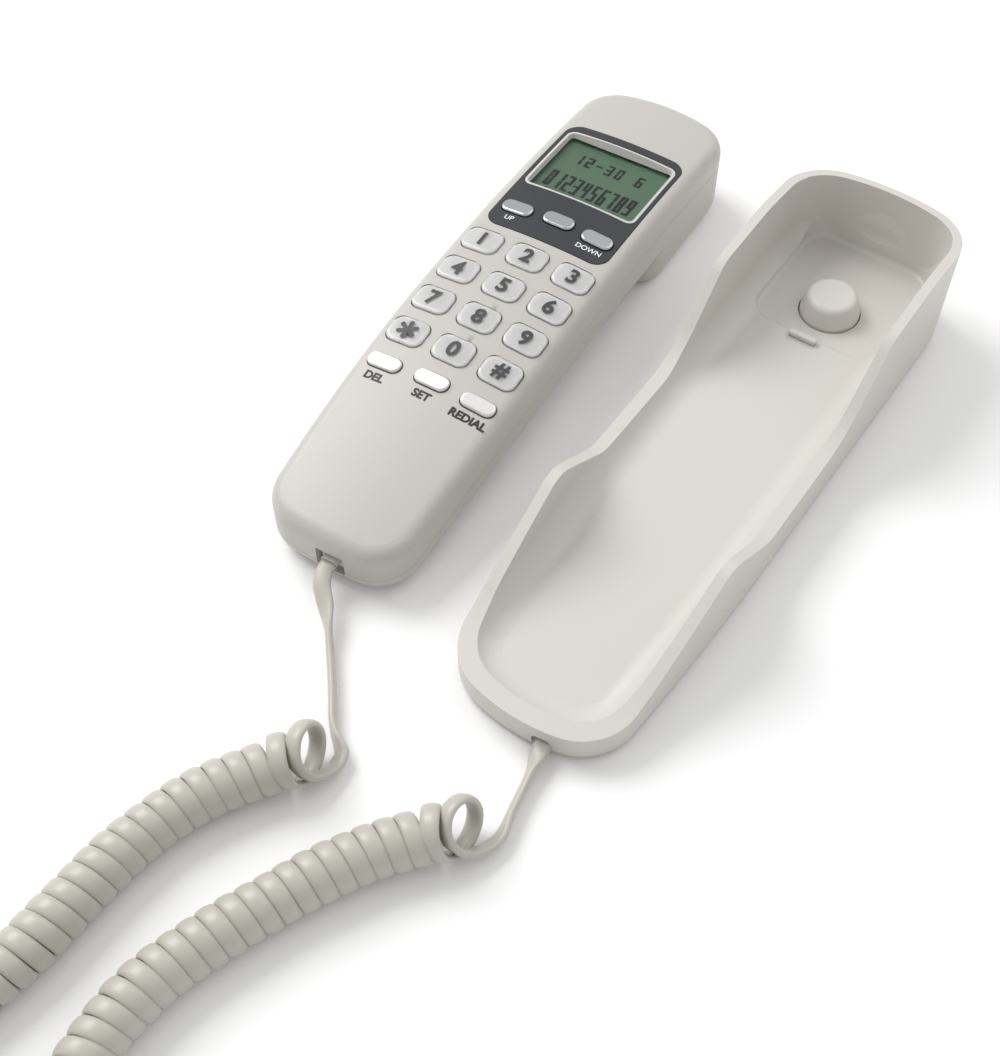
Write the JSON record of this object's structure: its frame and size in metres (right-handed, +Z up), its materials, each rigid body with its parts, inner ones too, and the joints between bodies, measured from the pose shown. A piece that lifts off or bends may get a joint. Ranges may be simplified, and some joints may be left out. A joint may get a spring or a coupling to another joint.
{
  "type": "corded landline phone",
  "caption": "Slim corded telephone: arched handset with keypad and display lying beside its cradle, joined by a curly cord.",
  "frame": {"origin": "centre of the cradle's underside pad on the desk", "axes": "+X to the cradle's right as seen from its foot end, +Y towards the cradle's head end, +Z up"},
  "size_m": [0.1402, 0.493, 0.0404],
  "materials": {
    "housing": "satin",
    "keys": "clear cap over white",
    "function_buttons": "gloss",
    "nav_buttons": "silver gloss",
    "panel": "satin",
    "bezel": "satin",
    "window": "clear",
    "lcd": "reflective liquid crystal glass",
    "mat": "silicone",
    "board": "printed circuit board",
    "foam": "foam",
    "speaker": "dark",
    "weights": "plated",
    "screws": "zinc plated",
    "spring": "spring wire",
    "sockets": "moulded",
    "plugs": "clear moulded",
    "feet": "moulded",
    "cord": "vinyl"
  },
  "bodies": {
    "cradle": {"cradle_shell": "housing", "base_plate": "housing", "rubber_feet": "feet", "centre_pad": "feet", "base_screws": "screws", "hook_switch": "sockets", "retaining_tab": "housing", "base_board": "board", "ringer": "speaker", "ballast_weight": "weights", "line_jack": "sockets", "cradle_jack": "sockets", "cradle_plug": "plugs", "handset_lead": "cord", "base_lead": "cord", "curly_cord": "cord"},
    "plunger": {"hook_plunger": "housing", "hook_spring": "spring"},
    "handset": {"handset_front_cover": "housing", "handset_rear_cover": "housing", "handset_screws": "screws", "display_surround": "panel", "display_bezel": "bezel", "display_window": "window", "lcd_module": "lcd", "keypad_mat": "mat", "handset_board": "board", "earpiece_gasket": "foam", "earpiece_speaker": "speaker", "microphone_boot": "mat", "microphone": "speaker", "handset_weight": "weights", "handset_jack": "sockets", "handset_plug": "plugs"},
    "key_1_body": {"key_1": "keys"},
    "key_2_body": {"key_2": "keys"},
    "key_3_body": {"key_3": "keys"},
    "key_4_body": {"key_4": "keys"},
    "key_5_body": {"key_5": "keys"},
    "key_6_body": {"key_6": "keys"},
    "key_7_body": {"key_7": "keys"},
    "key_8_body": {"key_8": "keys"},
    "key_9_body": {"key_9": "keys"},
    "key_star_body": {"key_star": "keys"},
    "key_0_body": {"key_0": "keys"},
    "key_hash_body": {"key_hash": "keys"},
    "button_up_body": {"button_up": "nav_buttons"},
    "button_flash_body": {"button_flash": "nav_buttons"},
    "button_down_body": {"button_down": "nav_buttons"},
    "button_del_body": {"button_del": "function_buttons"},
    "button_set_body": {"button_set": "function_buttons"},
    "button_redial_body": {"button_redial": "function_buttons"}
  },
  "joints": [
    {"name": "handset_lift", "type": "slide", "parent": "cradle", "child": "handset", "axis": [0, 0, 1], "range_m": [0, 0.05]},
    {"name": "hook_press", "type": "slide", "parent": "cradle", "child": "plunger", "axis": [0, 0, -1], "range_m": [0, 0.003], "stiffness_N_per_m": 150, "springref_m": -0.002, "deforming": ["hook_spring"]},
    {"name": "key_1_press", "type": "slide", "parent": "handset", "child": "key_1_body", "axis": [0.0869, 0.0319, -0.9957], "range_m": [0, 0.0012], "stiffness_N_per_m": 700, "springref_m": -0.0006},
    {"name": "key_2_press", "type": "slide", "parent": "handset", "child": "key_2_body", "axis": [-0.0017, 0.0262, -0.9997], "range_m": [0, 0.0012], "stiffness_N_per_m": 700, "springref_m": -0.0006},
    {"name": "key_3_press", "type": "slide", "parent": "handset", "child": "key_3_body", "axis": [-0.0903, 0.0205, -0.9957], "range_m": [0, 0.0012], "stiffness_N_per_m": 700, "springref_m": -0.0006},
    {"name": "key_4_press", "type": "slide", "parent": "handset", "child": "key_4_body", "axis": [0.0854, 0.0557, -0.9948], "range_m": [0, 0.0012], "stiffness_N_per_m": 700, "springref_m": -0.0006},
    {"name": "key_5_press", "type": "slide", "parent": "handset", "child": "key_5_body", "axis": [-0.0032, 0.05, -0.9987], "range_m": [0, 0.0012], "stiffness_N_per_m": 700, "springref_m": -0.0006},
    {"name": "key_6_press", "type": "slide", "parent": "handset", "child": "key_6_body", "axis": [-0.0918, 0.0442, -0.9948], "range_m": [0, 0.0012], "stiffness_N_per_m": 700, "springref_m": -0.0006},
    {"name": "key_7_press", "type": "slide", "parent": "handset", "child": "key_7_body", "axis": [0.0838, 0.0794, -0.9933], "range_m": [0, 0.0012], "stiffness_N_per_m": 700, "springref_m": -0.0006},
    {"name": "key_8_press", "type": "slide", "parent": "handset", "child": "key_8_body", "axis": [-0.0048, 0.0737, -0.9973], "range_m": [0, 0.0012], "stiffness_N_per_m": 700, "springref_m": -0.0006},
    {"name": "key_9_press", "type": "slide", "parent": "handset", "child": "key_9_body", "axis": [-0.0933, 0.0679, -0.9933], "range_m": [0, 0.0012], "stiffness_N_per_m": 700, "springref_m": -0.0006},
    {"name": "key_star_press", "type": "slide", "parent": "handset", "child": "key_star_body", "axis": [0.0823, 0.1031, -0.9913], "range_m": [0, 0.0012], "stiffness_N_per_m": 700, "springref_m": -0.0006},
    {"name": "key_0_press", "type": "slide", "parent": "handset", "child": "key_0_body", "axis": [-0.0063, 0.0974, -0.9952], "range_m": [0, 0.0012], "stiffness_N_per_m": 700, "springref_m": -0.0006},
    {"name": "key_hash_press", "type": "slide", "parent": "handset", "child": "key_hash_body", "axis": [-0.0949, 0.0916, -0.9913], "range_m": [0, 0.0012], "stiffness_N_per_m": 700, "springref_m": -0.0006},
    {"name": "button_up_press", "type": "slide", "parent": "handset", "child": "button_up_body", "axis": [0.0778, 0.0011, -0.997], "range_m": [0, 0.0012], "stiffness_N_per_m": 700, "springref_m": -0.0006},
    {"name": "button_flash_press", "type": "slide", "parent": "handset", "child": "button_flash_body", "axis": [-0.0007, -0.0058, -1], "range_m": [0, 0.0012], "stiffness_N_per_m": 700, "springref_m": -0.0006},
    {"name": "button_down_press", "type": "slide", "parent": "handset", "child": "button_down_body", "axis": [-0.0789, -0.0095, -0.9968], "range_m": [0, 0.0012], "stiffness_N_per_m": 700, "springref_m": -0.0006},
    {"name": "button_del_press", "type": "slide", "parent": "handset", "child": "button_del_body", "axis": [0.0798, 0.1246, -0.989], "range_m": [0, 0.0012], "stiffness_N_per_m": 700, "springref_m": -0.0006},
    {"name": "button_set_press", "type": "slide", "parent": "handset", "child": "button_set_body", "axis": [-0.0087, 0.1177, -0.993], "range_m": [0, 0.0012], "stiffness_N_per_m": 700, "springref_m": -0.0006},
    {"name": "button_redial_press", "type": "slide", "parent": "handset", "child": "button_redial_body", "axis": [-0.0974, 0.1128, -0.9888], "range_m": [0, 0.0012], "stiffness_N_per_m": 700, "springref_m": -0.0006}
  ]
}
